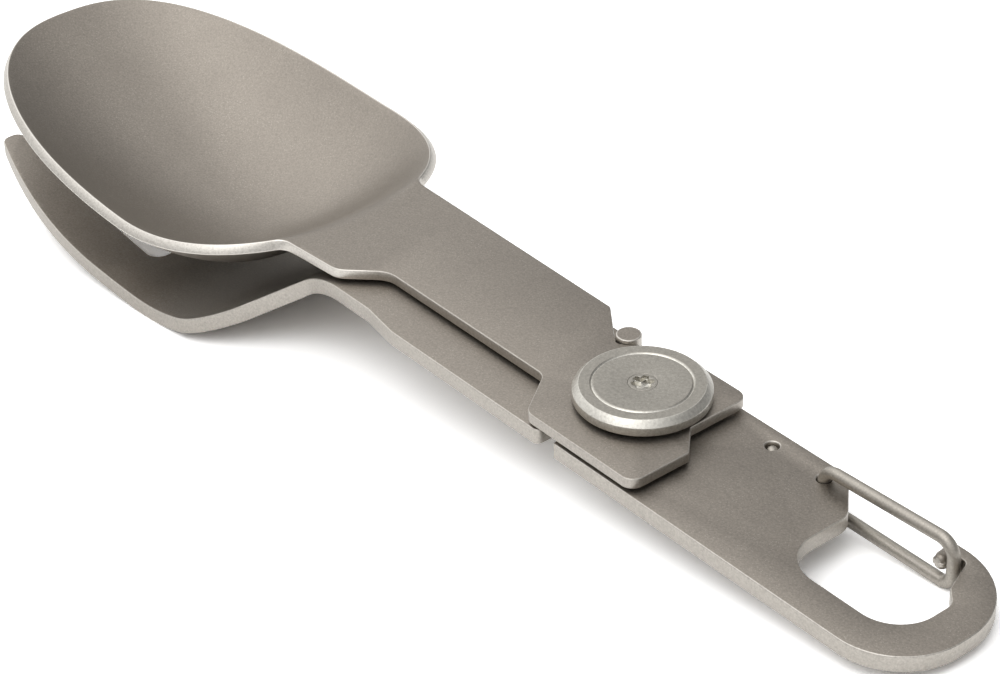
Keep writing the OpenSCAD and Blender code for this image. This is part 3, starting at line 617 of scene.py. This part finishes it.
def turned(profile, worn_and_sheen, steps=144, at=(0, 0), lobed=None):
    """A turned solid from a closed profile of corners (radius, height, rounding), in millimetres."""
    shape = bmesh.new()
    mask = shape.verts.layers.float.new("edge")
    rings = []
    for point in rounded(profile, turned_arc):
        ring = []
        for k in range(1 if point.x < on_axis else steps):
            turn = 2 * math.pi * k / steps
            radius = point.x * (1 + lobed(point) * math.cos(recess_lobes * turn) if lobed else 1)
            vert = shape.verts.new(((at[0] + radius * math.cos(turn)) * MM,
                                    (at[1] + radius * math.sin(turn)) * MM, point.y * MM))
            vert[mask] = worn_and_sheen(point.x, point.y)
            ring.append(vert)
        rings.append(ring)
    for ring, other in zip(rings, rings[1:] + rings[:1]):
        for k in range(steps):
            a, b = ring[k % len(ring)], ring[(k + 1) % len(ring)]
            c, d = other[(k + 1) % len(other)], other[k % len(other)]
            corners = list(dict.fromkeys((a, b, c, d)))
            if len(corners) > 2:
                shape.faces.new(corners)
    bmesh.ops.recalc_face_normals(shape, faces=shape.faces[:])
    return shape


blasted_cap = blasted("blasted_cap", (0.362, 0.342, 0.305), (0.78, 0.76, 0.70), 0.42, 0.6, 3000.0)
turned_steel = blasted("turned_steel", (0.43, 0.41, 0.375), (0.80, 0.78, 0.74), 0.36, 0.3, 5200.0)

thread_r, thread_low, foot_r, foot_low, foot_rub_r = 1.22, 1, 4.6, -0.8, 4.4
cap_low, cap_top, cap_r, cap_side_top, cap_face_r, cap_flat_r = 4.3, 6.05, 7.8, 5.33, 7.1, 7.0
barrel = turned([(0, thread_low, 0), (thread_r, thread_low, 0), (thread_r, cap_low, 0.05),
                 (barrel_r, cap_low, 0.1), (barrel_r, 0, 0), (foot_r, 0, 0.12), (foot_r, foot_low, 0.25),
                 (0, foot_low, 0)], lambda r, z: 0.8 if r > foot_rub_r else 0.2)
finished("barrel", barrel, turned_steel, "frame", "pivot_barrel")

washer_high, washer_play, washer_edge = 0.45, 0.05, 0.08
for washer, low, high, radius in (("spacer_washer", plate_t, plate_t + washer_high, 6.2),
                                  ("cap_washer", spoon_top + washer_play, spoon_top + washer_high, 5.4)):
    ring = turned([(barrel_r + barrel_play, low, 0), (radius, low, washer_edge),
                   (radius, high, washer_edge), (barrel_r + barrel_play, high, 0)], lambda r, z: 0.3)
    finished(washer + "_ring", ring, turned_steel, "frame", washer)

groove_r, groove_w, groove_deep, groove_land, groove_edge = 5.63, 0.2, 0.18, 0.28, 0.04
seat_r, seat_z, screw_hole_r = 1.66, 5.05, 1.26
chamfer_r, chamfer_z, side_r, groove_half = 7.07, 5.2, 7.7, 0.16


def cap_wear_and_sheen(r, z):
    """The chamfer and the groove get the polished colour, which also paints their highlights, and the
    cap's side a little of it.
    """
    if r > chamfer_r and z > chamfer_z:
        return 0.6
    if r > side_r:
        return 0.3
    return 0.9 if abs(r - groove_r) < groove_half else 0


cap = turned([(screw_hole_r, cap_low, 0), (cap_r, cap_low, 0.1), (cap_r, cap_side_top, 0.09),
              (cap_face_r, cap_top, 0.07), (cap_flat_r, cap_top, 0),
              (groove_r + groove_land, cap_top, 0), (groove_r + groove_w, cap_top, groove_edge),
              (groove_r, cap_top - groove_deep, groove_edge), (groove_r - groove_w, cap_top, groove_edge),
              (groove_r - groove_land, cap_top, 0), (seat_r, cap_top, 0.05), (seat_r, seat_z, 0),
              (screw_hole_r, seat_z, 0)], cap_wear_and_sheen)
finished("cap", cap, blasted_cap, "frame", "pivot_cap")

screw_r, screw_low, head_r, head_top = 1.2, 1.8, 1.64, 6.04
recess_r, recess_low, recess_middle, recess_share = 1.25, 5.4, 5.3, 0.25
edge_z, lobed_r, lobed_z = 6.03, 1.3, 5.1
# The lobed recess and the head's side get the lighter colour as painted highlight.
screw = turned([(0, screw_low, 0), (screw_r, screw_low, 0.1), (screw_r, seat_z, 0), (head_r, seat_z, 0),
                (head_r, head_top, 0.03), (recess_r, head_top, 0.06), (screw_r, recess_low, 0.15),
                (0, recess_middle, 0)],
               lambda r, z: 0.7 if r < recess_r else 0.4 if z < edge_z else 0,
               lobed=lambda p: recess_share if p.x < lobed_r and p.y > lobed_z else 0)
finished("screw", screw, blasted_cap, "frame", "pivot_screw")


# Stop pin: a plain turned steel pin, pressed into the fork's tail, which the notch in the
# spoon's far edge seats against.
pin_top, pin_face_r, pin_wear_and_sheen_r = 4.2, 1.28, 1.3
# The pin's side and rounded top edge get the lighter colour, as wear with painted highlight.
pin = turned([(0, 0, 0), (pin_r, 0, 0.1), (pin_r, pin_top, 0.16), (pin_face_r, pin_top, 0),
              (0, pin_top, 0)], lambda r, z: 0.7 if r > pin_wear_and_sheen_r else 0, steps=72, at=(pin_x, pin_y))
finished("pin", pin, blasted_titanium, "frame", "stop_pin")


# Gate: one sprung steel wire, bent to a loop that closes the eye behind the nose. Its short
# tail runs on under the handle, and the wire's round tip shows in a hole.
sweep = bpy.data.node_groups.new("swept_wire", "GeometryNodeTree")
sweep_inputs = {"Path": "NodeSocketGeometry", "Wire radius": "NodeSocketFloat",
                "Sides": "NodeSocketInt", "Finish": "NodeSocketMaterial"}
sockets = {name: sweep.interface.new_socket(name, in_out="INPUT", socket_type=kind)
           for name, kind in sweep_inputs.items()}
sweep.interface.new_socket("Wire", in_out="OUTPUT", socket_type="NodeSocketGeometry")
sweep_nodes = Nodes(sweep)
given = {name: sweep_nodes.node("NodeGroupInput", output=name) for name in sweep_inputs}
circle = sweep_nodes.node("GeometryNodeCurvePrimitiveCircle", {}, {
    "Resolution": given["Sides"], "Radius": given["Wire radius"]})
narrowing = sweep_nodes.node("GeometryNodeInputNamedAttribute", {"data_type": "FLOAT"},
                             {"Name": "thickness"})
tube = sweep_nodes.node("GeometryNodeCurveToMesh", {}, {
    "Curve": sweep_nodes.node("GeometryNodeMeshToCurve", {}, {"Mesh": given["Path"]}),
    "Profile Curve": circle, "Scale": narrowing})
sweep_nodes.node("NodeGroupOutput", sockets={"Wire": sweep_nodes.node("GeometryNodeSetMaterial", {}, {
    "Geometry": sweep_nodes.node("GeometryNodeRealizeInstances", {}, {"Geometry": tube}),
    "Material": given["Finish"]})})

drawn_wire = blasted("drawn_wire", (0.40, 0.372, 0.33), (0.7, 0.68, 0.64), 0.47, 0.5, 4600.0)
wire_arc, wire_sides, end_steps, thinnest = 7, 28, 6, 0.001


def bent_wire(name, corners, body, replaced, first_end=1.0):
    """A wire with round ends along a path of corners (along the part, height, bend radius)."""
    path = rounded(corners, wire_arc)
    end_turns = [math.pi / 2 * k / end_steps for k in range(end_steps + 1)]
    ends = []
    for end, inner, bulge in ((path[0], path[1], first_end), (path[-1], path[-2], 1.0)):
        ends.append([(end - unit(inner - end) * wire_r * bulge * math.cos(turn), math.sin(turn))
                     for turn in end_turns])
    points = ends[0] + [(p, 1) for p in path[1:-1]] + ends[1][::-1]
    mesh = bpy.data.meshes.new(name)
    mesh.from_pydata([laid @ Vector((p.x * MM, gate_y * MM, p.y * MM)) for p, share in points],
                     [(k, k + 1) for k in range(len(points) - 1)], [])
    thickness = mesh.attributes.new("thickness", "FLOAT", "POINT")
    for k, (p, share) in enumerate(points):
        thickness.data[k].value = max(share, thinnest)
    wire = bpy.data.objects.new(name + "_path", mesh)
    bpy.context.scene.collection.objects.link(wire)
    modifier = wire.modifiers.new("sweep", "NODES")
    modifier.node_group = sweep
    for socket, value in (("Wire radius", wire_r * MM), ("Sides", wire_sides), ("Finish", drawn_wire)):
        modifier[sockets[socket].identifier] = value
    drawn = bpy.data.meshes.new_from_object(wire.evaluated_get(bpy.context.evaluated_depsgraph_get()))
    wire.modifiers.remove(modifier)
    bpy.data.objects.remove(wire)
    drawn.name = name
    drawn.shade_smooth()
    set_out(name, drawn, body, replaced)


wire_low, wire_start, loop_start, loop_end = -1.3, 0.8, 3.45, 4.2
loop_r, loop_low_r, tail_bend_r, tip_z, tip_lean = 2.0, 1.6, 1.5, 1.15, 0.05
bent_wire("gate_loop", [(gate_x, wire_start, 0), (gate_x, loop_start, loop_r),
                        (gate_end_x, loop_end, loop_r), (gate_end_x, wire_low, loop_low_r),
                        (gate_x, wire_low, 0)], "gate", "gate_wire")
tail_bulge, tail_gap = 0.15, 0.03
tail_start = gate_x - wire_r * (1 + tail_bulge) - tail_gap
bent_wire("gate_tail", [(tail_start, wire_low, 0), (anchor_x, wire_low, tail_bend_r),
                        (anchor_x + tip_lean, tip_z, 0)], "frame", "gate_wire_tail", tail_bulge)
